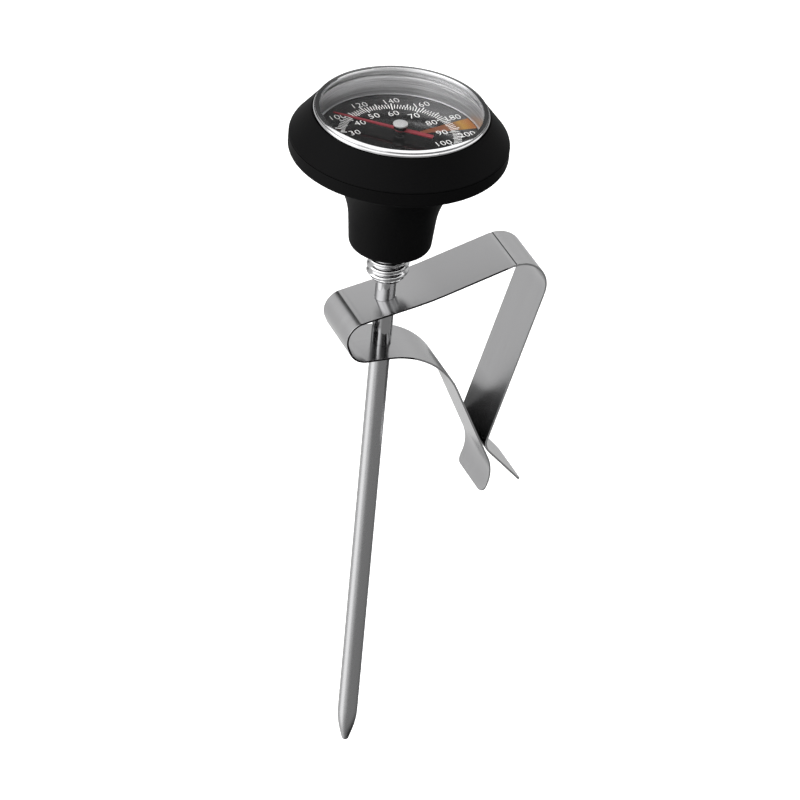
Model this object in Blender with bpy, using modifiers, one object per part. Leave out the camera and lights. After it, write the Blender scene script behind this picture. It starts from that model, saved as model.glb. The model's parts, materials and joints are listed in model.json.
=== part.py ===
"""Dial thermometer with a stainless stem, a silicone head cover and a spring clip.

The frame: +Z runs up the stem, +X runs from the stem to the clip's jaws, and the origin is the
point between the closed jaws, where the clip holds a vessel's rim. Every drawn height is a height
above the stem's tip, and every radius is taken from the stem's axis.

The clip is one bent strip on the real thermometer. Its outer leg is a node of its own here, so that
it can open: the strip is parted in the middle of its right-hand bend.
"""
import math

import bmesh
import bpy
from mathutils import Vector

MM = 0.001

# ---- Driving dimensions -------------------------------------------------------------------------

STEM_TO_JAWS = 21.7 * MM        # from the stem's axis to the closed jaws
TIP_TO_JAWS = 70.8 * MM         # from the stem's tip up to the closed jaws

STEM_RADIUS = 2.0 * MM
STEM_BORE = 1.6 * MM
STEM_TOP = 140.2 * MM
TIP_SOLID = 9.5 * MM            # the tip is closed up to this height
TIP_LENGTH = 5.2 * MM           # the cone of the tip
TIP_LAND = 0.62 * MM            # half the width of the tip's blunt end

HEAD_RADIUS = 20.9 * MM         # the cover's widest point
COVER_TOP = 146.5 * MM
COVER_BAND_TOP = 141.6 * MM
COVER_BAND_BOTTOM = 138.0 * MM
COVER_NECK_BOTTOM = 117.2 * MM
COVER_BORE = 16.76 * MM         # the cover's wall grips the bezel here
COVER_WALL = 2.0 * MM

BEZEL_RADIUS = 16.64 * MM
BEZEL_OPENING = 15.4 * MM
BEZEL_TOP = 147.4 * MM

CASE_RADIUS = 16.4 * MM
CASE_FLOOR = 138.0 * MM
CASE_RIM = 144.6 * MM
CASE_SHEET = 0.5 * MM           # the thickness of the case's floor
CASE_WALL = 0.3 * MM
DIAL_SEAT_INNER = 15.0 * MM     # the dial rests on a seat from here to the case's wall
DIAL_FACE = 141.35 * MM
DIAL_THICKNESS = 0.25 * MM
DIAL_RADIUS = 16.0 * MM
SPACER_INNER = 15.75 * MM
GLASS_BOTTOM = 145.3 * MM
GLASS_TOP = 146.5 * MM

THREAD_RADIUS = 4.13 * MM
THREAD_DEPTH = 0.7 * MM
THREAD_PITCH = 1.5 * MM
THREAD_BOTTOM = 110.5 * MM
THREAD_TOP = 118.4 * MM
COLLAR_SHANK = 3.6 * MM
COLLAR_FLANGE = 6.0 * MM
COLLAR_SPIGOT = 3.0 * MM
FLANGE_BOTTOM = 136.4 * MM
FLANGE_TOP = 137.4 * MM
SPIGOT_TOP = 140.0 * MM
NUT_ACROSS_FLATS = 9.0 * MM
NUT_HEIGHT = 1.3 * MM

NEEDLE_HEIGHT = 142.95 * MM
NEEDLE_THICKNESS = 0.25 * MM
NEEDLE_REACH = 13.4 * MM
NEEDLE_TAIL = 6.6 * MM
NEEDLE_READING = math.radians(138.3)    # the needle's direction at rest, from +X towards +Y
HUB_RADIUS = 1.2 * MM
HUB_NECK = 0.7 * MM             # the hub is riveted through the needle's eye
HUB_BOTTOM = 142.15 * MM
CAP_RADIUS = 1.42 * MM
CAP_BOTTOM = 143.5 * MM
CAP_TOP = 144.2 * MM

SPINDLE_RADIUS = 0.35 * MM
SPINDLE_BOTTOM = 36.6 * MM
HELIX_RADIUS = 1.15 * MM
HELIX_WIRE = 0.2 * MM
HELIX_BOTTOM = 13.4 * MM
HELIX_TOP = 36.2 * MM
HELIX_TURNS = 11
BUSH_LENGTH = 3.0 * MM
BUSH_BOTTOMS = (44.0 * MM, 133.0 * MM)  # the lower and the upper guide of the spindle

STRIP_WIDTH = 12.5 * MM
STRIP_THICKNESS = 0.4 * MM
STRIP_CORNER = 1.6 * MM         # rounding of the strip's free corners, seen on its flat
LOWER_PLATE = 95.6 * MM
LOWER_HOLE = 2.25 * MM
UPPER_HOLE = 2.3 * MM

FIT_GAP = 0.1 * MM              # between pieces that touch on the real object
PARTING_GAP = 0.3 * MM          # between the clip's two nodes

ROUND_LARGE = 56                # facets around the head
ROUND_COLLAR = 36
ROUND_SMALL = 28                # facets around the stem and the small turned pieces
ROUND_SPINDLE = 16
CHORD_ERROR = 0.03 * MM         # how far a rounded corner's chords lie inside its arc

# The clip's centreline in the X-Z plane as corners (x, height, bend radius), from the free end of
# its inner jaw, over the two plates that guide the stem, to the free end of its outer jaw.
CLIP_CORNERS = [
    (21.8 * MM, 60.3 * MM, 0),
    (24.25 * MM, 64.4 * MM, 8.7 * MM),
    (9.75 * MM, LOWER_PLATE, 16.7 * MM),
    (-7.8 * MM, LOWER_PLATE, 4.0 * MM),
    (-11.2 * MM, 103.5 * MM, 3.8 * MM),
    (7.0 * MM, 107.3 * MM, 60.0 * MM),
    (33.5 * MM, 115.8 * MM, 5.8 * MM),
    (21.35 * MM, 71.35 * MM, 3.0 * MM),
    (30.2 * MM, 61.7 * MM, 0),
]
CLIP_PARTING_CORNER = 6         # the clip is parted in the middle of this corner's bend


# ---- Scene --------------------------------------------------------------------------------------

def clear_scene():
    for obj in list(bpy.data.objects):
        bpy.data.objects.remove(obj, do_unlink=True)


def new_collection(name):
    collection = bpy.data.collections.new(name)
    bpy.context.scene.collection.children.link(collection)
    return collection


clear_scene()
PARTS = new_collection("clip_dial_thermometer")
CUTTERS = new_collection("cutters")


def new_material(name, color, roughness, metallic):
    material = bpy.data.materials.new(name)
    material.use_nodes = True
    shader = material.node_tree.nodes["Principled BSDF"]
    shader.inputs["Base Color"].default_value = (*color, 1.0)
    shader.inputs["Roughness"].default_value = roughness
    shader.inputs["Metallic"].default_value = metallic
    return material


SILICONE = new_material("black_silicone", (0.012, 0.012, 0.013), 0.55, 0.0)
POLISHED = new_material("polished_steel", (0.78, 0.78, 0.79), 0.08, 1.0)
SATIN = new_material("satin_steel", (0.55, 0.55, 0.56), 0.28, 1.0)
TURNED = new_material("turned_aluminium", (0.62, 0.62, 0.63), 0.35, 1.0)
DIAL_PAINT = new_material("dial_paint", (0.03, 0.03, 0.032), 0.5, 0.0)
RED_PAINT = new_material("red_paint", (0.45, 0.03, 0.04), 0.4, 0.0)
DARK_STEEL = new_material("dark_steel", (0.08, 0.08, 0.085), 0.3, 1.0)
BRASS = new_material("brass", (0.7, 0.5, 0.2), 0.3, 1.0)
SEAL_RUBBER = new_material("seal_rubber", (0.02, 0.02, 0.02), 0.7, 0.0)
GLASS = new_material("glass", (0.9, 0.95, 0.95), 0.02, 0.0)


# ---- Shapes -------------------------------------------------------------------------------------

def new_object(name, mesh, material, parent, collection=PARTS):
    obj = bpy.data.objects.new(name, mesh)
    collection.objects.link(obj)
    obj.parent = parent
    if material:
        mesh.materials.append(material)
    return obj


def new_empty(name, location, parent=None):
    empty = bpy.data.objects.new(name, None)
    PARTS.objects.link(empty)
    empty.parent = parent
    empty.location = location
    return empty


def corner_arc(before, corner, after, radius):
    """Points along the arc of the given radius that rounds a corner of an outline."""
    to_before = (before - corner).normalized()
    to_after = (after - corner).normalized()
    half_angle = to_before.angle(to_after) / 2
    tangent_length = radius / math.tan(half_angle)
    centre = corner + (to_before + to_after).normalized() * radius / math.sin(half_angle)
    start = corner + to_before * tangent_length - centre
    turn = start.angle_signed(corner + to_after * tangent_length - centre)
    longest_step = 2 * math.acos(1 - CHORD_ERROR / radius)
    steps = max(2, math.ceil(abs(turn) / longest_step))
    points = []
    for step in range(steps + 1):
        angle = -turn * step / steps
        across = Vector((-start.y, start.x))
        points.append(centre + start * math.cos(angle) + across * math.sin(angle))
    return points


def rounded_outline(corners, closed=False):
    """An outline in a plane from corners (x, z) or (x, z, radius)."""
    places = [Vector(corner[:2]) for corner in corners]
    points = []
    for index, corner in enumerate(corners):
        radius = corner[2] if len(corner) > 2 else 0
        if radius and (closed or 0 < index < len(corners) - 1):
            before = places[index - 1]
            after = places[(index + 1) % len(corners)]
            points += corner_arc(before, places[index], after, radius)
        else:
            points.append(places[index])
    return points


def turned(name, outline, material, parent, facets=ROUND_LARGE, ring=True):
    """A piece turned about the stem's axis.

    The outline runs down its outer side. A ring's outline closes on itself and stays off the axis;
    any other outline starts and ends on the axis.
    """
    bm = bmesh.new()
    verts = [bm.verts.new((point.x, 0, point.y)) for point in rounded_outline(outline, ring)]
    for first, second in zip(verts, verts[1:]):
        bm.edges.new((first, second))
    if ring:
        bm.edges.new((verts[-1], verts[0]))
    mesh = bpy.data.meshes.new(name)
    bm.to_mesh(mesh)
    bm.free()
    obj = new_object(name, mesh, material, parent)
    screw = obj.modifiers.new("turn", "SCREW")
    screw.axis = "Z"
    screw.steps = facets
    screw.render_steps = facets
    screw.use_merge_vertices = True
    screw.merge_threshold = 0.000001
    screw.use_smooth_shade = False
    return obj


def plain_ring(name, inner, outer, bottom, top, material, parent, facets=ROUND_LARGE):
    outline = [(inner, top), (outer, top), (outer, bottom), (inner, bottom)]
    return turned(name, outline, material, parent, facets)


def flat_plate(name, loops, thickness, height, material, parent):
    """A flat plate cut to closed loops of (x, y) points, centred on a height."""
    curve = bpy.data.curves.new(name, "CURVE")
    curve.dimensions = "2D"
    curve.fill_mode = "BOTH"
    curve.extrude = thickness / 2
    for loop in loops:
        spline = curve.splines.new("POLY")
        spline.points.add(len(loop) - 1)
        spline.use_cyclic_u = True
        for point, (x, y) in zip(spline.points, loop):
            point.co = (x, y, 0, 1)
    return curve_to_piece(name, curve, Vector((0, 0, height)), material, parent)


def curve_to_piece(name, curve, location, material, parent):
    """Turn a curve into a mesh piece whose caps are welded on."""
    guide = bpy.data.objects.new(name + "_guide", curve)
    CUTTERS.objects.link(guide)
    evaluated = guide.evaluated_get(bpy.context.evaluated_depsgraph_get())
    mesh = bpy.data.meshes.new_from_object(evaluated)
    mesh.name = name
    bpy.data.objects.remove(guide, do_unlink=True)
    bm = bmesh.new()
    bm.from_mesh(mesh)
    bmesh.ops.remove_doubles(bm, verts=bm.verts, dist=0.000001)
    bmesh.ops.recalc_face_normals(bm, faces=bm.faces)
    bm.to_mesh(mesh)
    bm.free()
    piece = new_object(name, mesh, material, parent)
    piece.location = location
    return piece


def circle_points(radius, count, start=0.0, sweep=math.tau, closed=True):
    steps = count if closed else count - 1
    angles = [start + sweep * index / steps for index in range(count)]
    return [(radius * math.cos(angle), radius * math.sin(angle)) for angle in angles]


def round_cutter(name, radius, bottom, top, parent):
    """An upright cylinder about the stem's axis that cuts a hole."""
    bm = bmesh.new()
    bmesh.ops.create_cone(bm, cap_ends=True, segments=ROUND_SMALL, radius1=radius, radius2=radius,
                          depth=top - bottom)
    mesh = bpy.data.meshes.new(name)
    bm.to_mesh(mesh)
    bm.free()
    cutter = new_object(name, mesh, None, parent, CUTTERS)
    cutter.location = (0, 0, (top + bottom) / 2)
    cutter.hide_render = True
    cutter.display_type = "WIRE"
    return cutter


def cut(obj, cutter):
    boolean = obj.modifiers.new("cut_" + cutter.name, "BOOLEAN")
    boolean.operation = "DIFFERENCE"
    boolean.object = cutter


# ---- Stem ---------------------------------------------------------------------------------------

def build_stem(axis):
    outline = [
        (0, TIP_SOLID), (STEM_BORE, TIP_SOLID), (STEM_BORE, STEM_TOP), (STEM_RADIUS, STEM_TOP),
        (STEM_RADIUS, TIP_LENGTH, 20 * MM), (TIP_LAND, 0, 0.45 * MM), (0, 0),
    ]
    turned("stem_tube", outline, SATIN, axis, ROUND_SMALL, ring=False)


def build_sensor(axis):
    """The bimetal sensor in the stem: the helix, the plug it stands on and the spindle's guides."""
    loose = STEM_BORE - FIT_GAP
    plug_bottom = TIP_SOLID + FIT_GAP
    plug_top = HELIX_BOTTOM - HELIX_WIRE - PARTING_GAP
    plug = [(0, plug_top), (loose, plug_top), (loose, plug_bottom), (0, plug_bottom)]
    turned("helix_anchor_plug", plug, SATIN, axis, ROUND_SMALL, ring=False)

    bush_bore = SPINDLE_RADIUS + FIT_GAP
    for name, bottom in zip(("lower_guide_bush", "upper_guide_bush"), BUSH_BOTTOMS):
        plain_ring(name, bush_bore, loose, bottom, bottom + BUSH_LENGTH, BRASS, axis, ROUND_SMALL)

    points_per_turn = 11
    curve = bpy.data.curves.new("bimetal_helix", "CURVE")
    curve.dimensions = "3D"
    curve.bevel_depth = HELIX_WIRE
    curve.bevel_resolution = 2
    curve.use_fill_caps = True
    spline = curve.splines.new("POLY")
    count = HELIX_TURNS * points_per_turn + 1
    spline.points.add(count - 1)
    for index, point in enumerate(spline.points):
        angle = math.tau * index / points_per_turn
        rise = (HELIX_TOP - HELIX_BOTTOM) * index / (count - 1)
        point.co = (HELIX_RADIUS * math.cos(angle), HELIX_RADIUS * math.sin(angle), rise, 1)
    curve_to_piece("bimetal_helix", curve, Vector((0, 0, HELIX_BOTTOM)), BRASS, axis)


# ---- Head ---------------------------------------------------------------------------------------

def thread_radius(height):
    """The collar's radius in its threaded length: rounded ridges that run out in a chamfer."""
    ridge = 0.5 + 0.5 * math.cos(math.tau * (height - THREAD_BOTTOM - 0.5 * MM) / THREAD_PITCH)
    crest = THREAD_RADIUS - THREAD_DEPTH * (1 - ridge)
    chamfer = 3.1 * MM + 0.75 * (height - THREAD_BOTTOM)
    return min(crest, chamfer)


def build_collar(axis):
    """The threaded collar fixed to the stem; its flange and nut clamp the case's floor."""
    bore = STEM_RADIUS + FIT_GAP
    steps_per_ridge = 6
    outline = [
        (bore, SPIGOT_TOP), (COLLAR_SPIGOT, SPIGOT_TOP), (COLLAR_SPIGOT, FLANGE_TOP),
        (COLLAR_FLANGE, FLANGE_TOP), (COLLAR_FLANGE, FLANGE_BOTTOM), (COLLAR_SHANK, FLANGE_BOTTOM),
    ]
    steps = round((THREAD_TOP - THREAD_BOTTOM) / THREAD_PITCH * steps_per_ridge)
    for step in range(steps + 1):
        height = THREAD_TOP + (THREAD_BOTTOM - THREAD_TOP) * step / steps
        outline.append((thread_radius(height), height))
    outline.append((bore, THREAD_BOTTOM))
    turned("threaded_collar", outline, POLISHED, axis, ROUND_COLLAR)


def build_cover(axis):
    """The silicone cover: a cone above, a band at its widest, and a neck over the collar."""
    neck, neck_top, throat, flare = 7.9 * MM, 134.0 * MM, 9.3 * MM, 16.8 * MM
    band_foot = 19.5 * MM
    lip, lip_height = 5.0 * MM, 0.6 * MM
    lip_bore = THREAD_RADIUS + 0.22 * MM
    neck_cavity, cavity_top, cavity_flare = 6.3 * MM, 132.2 * MM, 18.5 * MM
    ledge, ledge_inner = CASE_FLOOR - 2 * FIT_GAP, 14.8 * MM
    outline = [
        (COVER_BORE, COVER_TOP),
        (HEAD_RADIUS, COVER_BAND_TOP, 0.5 * MM),
        (HEAD_RADIUS, COVER_BAND_BOTTOM, 1.0 * MM),
        (band_foot, COVER_BAND_BOTTOM),
        (throat, neck_top, flare),
        (neck, COVER_NECK_BOTTOM + lip_height, 1.3 * MM),
        (lip, COVER_NECK_BOTTOM, 0.3 * MM),
        (lip_bore, COVER_NECK_BOTTOM),
        (lip_bore, COVER_NECK_BOTTOM + COVER_WALL),
        (neck_cavity, COVER_NECK_BOTTOM + COVER_WALL, 0.5 * MM),
        (neck_cavity, cavity_top, cavity_flare),
        (ledge_inner, ledge),
        (COVER_BORE, ledge),
    ]
    turned("silicone_cover", outline, SILICONE, axis)


def build_case(axis):
    inner = CASE_RADIUS - CASE_WALL
    floor_hole = COLLAR_SPIGOT + 2 * FIT_GAP
    floor_top = CASE_FLOOR + CASE_SHEET
    dial_seat = DIAL_FACE - DIAL_THICKNESS - FIT_GAP
    cup = [
        (inner, CASE_RIM), (CASE_RADIUS, CASE_RIM), (CASE_RADIUS, CASE_FLOOR, 0.4 * MM),
        (floor_hole, CASE_FLOOR), (floor_hole, floor_top), (DIAL_SEAT_INNER, floor_top),
        (DIAL_SEAT_INNER, dial_seat), (inner, dial_seat),
    ]
    turned("case_cup", cup, SATIN, axis)
    plain_ring("case_seal_washer", floor_hole, COLLAR_FLANGE - 2 * FIT_GAP, FLANGE_TOP + FIT_GAP,
               CASE_FLOOR - FIT_GAP, SEAL_RUBBER, axis, ROUND_SMALL)
    build_locknut(axis)


def build_locknut(axis):
    """The hexagon nut on the collar's spigot, inside the case."""
    bottom = CASE_FLOOR + CASE_SHEET + FIT_GAP
    bm = bmesh.new()
    corner_radius = NUT_ACROSS_FLATS / 2 / math.cos(math.pi / 6)
    bmesh.ops.create_cone(bm, cap_ends=True, segments=6, radius1=corner_radius,
                          radius2=corner_radius, depth=NUT_HEIGHT)
    mesh = bpy.data.meshes.new("case_locknut")
    bm.to_mesh(mesh)
    bm.free()
    nut = new_object("case_locknut", mesh, SATIN, axis)
    nut.location = (0, 0, bottom + NUT_HEIGHT / 2)
    bore = COLLAR_SPIGOT + FIT_GAP
    cut(nut, round_cutter("nut_bore", bore, bottom - MM, bottom + NUT_HEIGHT + MM, axis))


def build_window(axis):
    """The bezel ring, the glass under it, its gasket, and the turned ring that holds the dial."""
    skirt = CASE_RADIUS + 0.06 * MM
    bezel = [
        (BEZEL_OPENING, BEZEL_TOP, 0.36 * MM), (BEZEL_RADIUS, BEZEL_TOP, 0.42 * MM),
        (BEZEL_RADIUS, COVER_BAND_TOP), (skirt, COVER_BAND_TOP),
        (skirt, GLASS_TOP + FIT_GAP), (BEZEL_OPENING, GLASS_TOP + FIT_GAP, 0.3 * MM),
    ]
    turned("bezel_ring", bezel, POLISHED, axis)
    glass = [(0, GLASS_TOP), (CASE_RADIUS, GLASS_TOP), (CASE_RADIUS, GLASS_BOTTOM),
             (0, GLASS_BOTTOM)]
    turned("lens_glass", glass, GLASS, axis, ring=False)
    plain_ring("lens_gasket", SPACER_INNER, CASE_RADIUS, CASE_RIM + FIT_GAP,
               GLASS_BOTTOM - FIT_GAP, SEAL_RUBBER, axis)
    plain_ring("spacer_ring", SPACER_INNER, CASE_RADIUS - CASE_WALL - FIT_GAP,
               DIAL_FACE + FIT_GAP, CASE_RIM, TURNED, axis)
    plain_ring("dial_plate", 2 * SPINDLE_RADIUS, DIAL_RADIUS, DIAL_FACE - DIAL_THICKNESS,
               DIAL_FACE, DIAL_PAINT, axis)


# ---- Pointer ------------------------------------------------------------------------------------

def build_pointer(axis):
    """The pieces that turn together: spindle, ferrule, hub, cap and needle."""
    bore = SPINDLE_RADIUS + FIT_GAP
    spindle_top = CAP_BOTTOM + 0.3 * MM
    spindle = [(0, spindle_top), (SPINDLE_RADIUS, spindle_top), (SPINDLE_RADIUS, SPINDLE_BOTTOM),
               (0, SPINDLE_BOTTOM)]
    turned("pointer_spindle", spindle, DARK_STEEL, axis, ROUND_SPINDLE, ring=False)
    plain_ring("helix_ferrule", bore, STEM_BORE - 2 * FIT_GAP, SPINDLE_BOTTOM + 0.2 * MM,
               SPINDLE_BOTTOM + 2.4 * MM, BRASS, axis, ROUND_SMALL)

    needle_top = NEEDLE_HEIGHT + NEEDLE_THICKNESS / 2 + FIT_GAP
    needle_underside = NEEDLE_HEIGHT - NEEDLE_THICKNESS / 2 - FIT_GAP
    hub = [
        (bore, CAP_BOTTOM - FIT_GAP), (HUB_RADIUS, CAP_BOTTOM - FIT_GAP),
        (HUB_RADIUS, needle_top), (HUB_NECK, needle_top), (HUB_NECK, needle_underside),
        (HUB_RADIUS, needle_underside), (HUB_RADIUS, HUB_BOTTOM), (bore, HUB_BOTTOM),
    ]
    turned("pointer_hub", hub, DARK_STEEL, axis, ROUND_SMALL)

    cap = [
        (0, CAP_TOP), (CAP_RADIUS, CAP_TOP, 0.15 * MM), (CAP_RADIUS, CAP_BOTTOM),
        (bore, CAP_BOTTOM), (bore, spindle_top + FIT_GAP), (0, spindle_top + FIT_GAP),
    ]
    turned("hub_cap", cap, POLISHED, axis, ROUND_SMALL, ring=False)
    build_needle(axis)


def build_needle(axis):
    """The flat needle: a tapering blade, a small eye that the hub holds, and a broad tail."""
    eye_outer = HUB_RADIUS - 0.15 * MM
    root_half = 0.42 * MM
    tip_half = 0.13 * MM
    tail_half = 0.55 * MM
    reach_angle = math.asin(root_half / eye_outer)
    tail_angle = math.asin(tail_half / eye_outer)
    side = circle_points(eye_outer, 8, reach_angle, math.pi - tail_angle - reach_angle, False)
    outline = [(NEEDLE_REACH, -tip_half), (NEEDLE_REACH, tip_half)] + side
    outline += [(-NEEDLE_TAIL, tail_half), (-NEEDLE_TAIL, -tail_half)]
    outline += [(x, -y) for x, y in reversed(side)]
    eye = circle_points(HUB_NECK + FIT_GAP, ROUND_SMALL)
    flat_plate("pointer_needle", [outline, eye], NEEDLE_THICKNESS, NEEDLE_HEIGHT, RED_PAINT, axis)


# ---- Clip ---------------------------------------------------------------------------------------

def path_lengths(path):
    lengths = [0.0]
    for first, second in zip(path, path[1:]):
        lengths.append(lengths[-1] + (second - first).length)
    return lengths


def point_at(path, lengths, distance):
    """The point at a distance along a path."""
    for index in range(1, len(path)):
        if distance <= lengths[index] or index == len(path) - 1:
            share = (distance - lengths[index - 1]) / (lengths[index] - lengths[index - 1])
            return path[index - 1].lerp(path[index], share)


def path_between(path, start, end):
    """The stretch of a path between two distances along it."""
    lengths = path_lengths(path)
    inside = [point for point, length in zip(path, lengths) if start < length < end]
    return [point_at(path, lengths, start)] + inside + [point_at(path, lengths, end)]


def free_end_half_width(distance):
    """Half the strip's width at a distance from its free end, with its corners rounded."""
    half = STRIP_WIDTH / 2
    if distance >= STRIP_CORNER:
        return half
    return half - STRIP_CORNER + math.sqrt(STRIP_CORNER ** 2 - (STRIP_CORNER - distance) ** 2)


def strip(name, path, parent):
    """A strip bent along a path that starts at its free, rounded end."""
    lengths = path_lengths(path)
    corner_steps = 5
    rounding = [STRIP_CORNER * (1 - math.cos(math.pi / 2 * step / corner_steps))
                for step in range(corner_steps + 1)]
    distances = rounding + [length for length in lengths if length > STRIP_CORNER * 1.05]
    bm = bmesh.new()
    previous = None
    for distance in distances:
        place = point_at(path, lengths, distance)
        half = free_end_half_width(distance)
        row = [bm.verts.new((place.x, side * half, place.y)) for side in (-1, 1)]
        if previous:
            bm.faces.new((previous[0], previous[1], row[1], row[0]))
        previous = row
    mesh = bpy.data.meshes.new(name)
    bm.to_mesh(mesh)
    bm.free()
    obj = new_object(name, mesh, SATIN, parent)
    sheet = obj.modifiers.new("sheet", "SOLIDIFY")
    sheet.thickness = STRIP_THICKNESS
    sheet.offset = 0
    sheet.use_even_offset = True
    return obj


def clip_parting():
    """How far along the clip's centreline it is parted, and the point there."""
    path = rounded_outline(CLIP_CORNERS)
    lengths = path_lengths(path)
    corners = [Vector(corner[:2]) for corner in CLIP_CORNERS]
    index = CLIP_PARTING_CORNER
    bend = corner_arc(corners[index - 1], corners[index], corners[index + 1],
                      CLIP_CORNERS[index][2])
    middle = bend[len(bend) // 2]
    nearest = min(range(len(path)), key=lambda place: (path[place] - middle).length)
    return lengths[nearest], middle


def build_clip(axis):
    path = rounded_outline(CLIP_CORNERS)
    total = path_lengths(path)[-1]
    parting, pivot = clip_parting()

    frame = strip("clip_frame", path_between(path, 0, parting - PARTING_GAP / 2), axis)
    for name, radius, bottom, top in (
            ("lower_hole", LOWER_HOLE, LOWER_PLATE - MM, LOWER_PLATE + MM),
            ("upper_hole", UPPER_HOLE, LOWER_PLATE + 8 * MM, LOWER_PLATE + 13 * MM)):
        cut(frame, round_cutter(name, radius, bottom, top, axis))

    outer = [point - pivot for point in path_between(path, parting + PARTING_GAP / 2, total)]
    hinge = new_empty("outer_leg_hinge", (pivot.x, 0, pivot.y), axis)
    strip("clip_outer_leg", list(reversed(outer)), hinge)


# ---- Assembly -----------------------------------------------------------------------------------

def build():
    stem_axis = new_empty("stem_axis", (-STEM_TO_JAWS, 0, -TIP_TO_JAWS))
    build_clip(stem_axis)
    build_stem(stem_axis)
    build_sensor(stem_axis)
    build_collar(stem_axis)
    build_cover(stem_axis)
    build_case(stem_axis)
    build_window(stem_axis)
    pointer_axis = new_empty("pointer_axis", (0, 0, 0), stem_axis)
    pointer_axis.rotation_euler.z = NEEDLE_READING
    build_pointer(pointer_axis)


build()
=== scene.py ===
"""The looks of the clip-on dial thermometer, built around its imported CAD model."""
import json
import math

import bmesh
import bpy
from mathutils import Matrix, Vector


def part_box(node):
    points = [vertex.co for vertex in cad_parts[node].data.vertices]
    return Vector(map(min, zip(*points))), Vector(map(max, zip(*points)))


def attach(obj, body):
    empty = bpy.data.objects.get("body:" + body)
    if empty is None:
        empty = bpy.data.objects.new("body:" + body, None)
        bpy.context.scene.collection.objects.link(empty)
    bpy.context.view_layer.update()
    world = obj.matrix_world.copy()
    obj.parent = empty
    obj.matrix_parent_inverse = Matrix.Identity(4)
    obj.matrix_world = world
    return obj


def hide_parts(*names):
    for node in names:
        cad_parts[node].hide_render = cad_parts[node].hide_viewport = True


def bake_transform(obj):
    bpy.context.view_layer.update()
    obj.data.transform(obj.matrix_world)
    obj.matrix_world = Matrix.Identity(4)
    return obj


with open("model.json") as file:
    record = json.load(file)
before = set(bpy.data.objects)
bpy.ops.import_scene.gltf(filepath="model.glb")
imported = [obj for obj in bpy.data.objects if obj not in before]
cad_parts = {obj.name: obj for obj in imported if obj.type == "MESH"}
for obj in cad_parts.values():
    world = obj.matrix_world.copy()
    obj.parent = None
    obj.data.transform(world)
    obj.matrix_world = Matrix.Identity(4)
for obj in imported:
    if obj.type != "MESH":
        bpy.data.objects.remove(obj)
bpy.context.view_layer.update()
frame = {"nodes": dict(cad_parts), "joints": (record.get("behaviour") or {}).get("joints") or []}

MM = 0.001

# ---- Places from the frame ----------------------------------------------------------------------

JOINTS = {joint["name"]: joint for joint in frame["joints"]}
AXIS_X = JOINTS["head_swivel"]["pos_m"][0]
TIP_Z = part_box("stem_tube")[0].z


def height_of(node, end):
    """A node's lowest (0) or highest (1) height above the stem's tip, in millimetres."""
    return (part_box(node)[end].z - TIP_Z) / MM


def radius_of(node):
    """A turned node's outer radius in millimetres."""
    low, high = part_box(node)
    return (high.y - low.y) / 2 / MM


DIAL = height_of("dial_plate", 1)
BEZEL_TOP = height_of("bezel_ring", 1)
BEZEL_LOW = height_of("bezel_ring", 0)
BEZEL_RADIUS = radius_of("bezel_ring")
COVER_TOP = height_of("silicone_cover", 1)
COVER_LOW = height_of("silicone_cover", 0)
COVER_RADIUS = radius_of("silicone_cover")
COLLAR_LOW = height_of("threaded_collar", 0)
COLLAR_TOP = height_of("threaded_collar", 1)
GLASS_TOP = height_of("lens_glass", 1)
GLASS_LOW = height_of("lens_glass", 0)
STEM_TOP = height_of("stem_tube", 1)
STEM_RADIUS = radius_of("stem_tube")
NEEDLE = (height_of("pointer_needle", 0) + height_of("pointer_needle", 1)) / 2
CAP_TOP = height_of("hub_cap", 1)
STRIP_WIDTH = 2 * radius_of("clip_frame")
STRIP_THICKNESS = 0.4
LOWER_PLATE = 95.6                      # the height where the stem passes the clip's lower plate
UPPER_PLATE = 106.1                     # the upper plate's height near the stem; it slopes
PINCH_HEIGHT = 71.35                    # the height where the clip's two legs meet

VIEW_AZIMUTH = math.radians(-24.7)      # the photograph's view, from -Y towards -X

# The dial's scale: directions from +X towards +Y, in degrees unless converted.
DIRECTION_AT_65_C = 62.4
DEGREES_PER_CELSIUS = 2.712
NEEDLE_DIRECTION = math.radians(138.3)
FIGURES_TURN = math.radians(3.5)

INK_LOW, INK_HIGH = 0.005, 0.03         # the ticks' and figures' two faces above the dial


# ---- Materials ----------------------------------------------------------------------------------

def node_tools(material):
    """A material's nodes and links."""
    tree = material.node_tree
    return tree.nodes, tree.links


def remap(nodes, links, value, start, end, low=0.0, high=1.0, smooth=False):
    """Turn a value's stretch from start to end into low to high, level outside it."""
    node = nodes.new("ShaderNodeMapRange")
    node.inputs["From Min"].default_value = start
    node.inputs["From Max"].default_value = end
    node.inputs["To Min"].default_value = low
    node.inputs["To Max"].default_value = high
    if smooth:
        node.interpolation_type = "SMOOTHSTEP"
    links.new(value, node.inputs["Value"])
    return node.outputs["Result"]


def component(nodes, links, vector, axis):
    """The X, Y or Z of a vector."""
    split = nodes.new("ShaderNodeSeparateXYZ")
    links.new(vector, split.inputs["Vector"])
    return split.outputs[axis]


def color_ramp(nodes, links, value, stops):
    """Colours along a value, from stops of a position and a colour."""
    ramp = nodes.new("ShaderNodeValToRGB")
    elements = ramp.color_ramp.elements
    while len(elements) < len(stops):
        elements.new(0.5)
    for element, (position, color) in zip(elements, stops):
        element.position = position
        element.color = (*color, 1)
    links.new(value, ramp.inputs["Fac"])
    return ramp.outputs["Color"]


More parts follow.
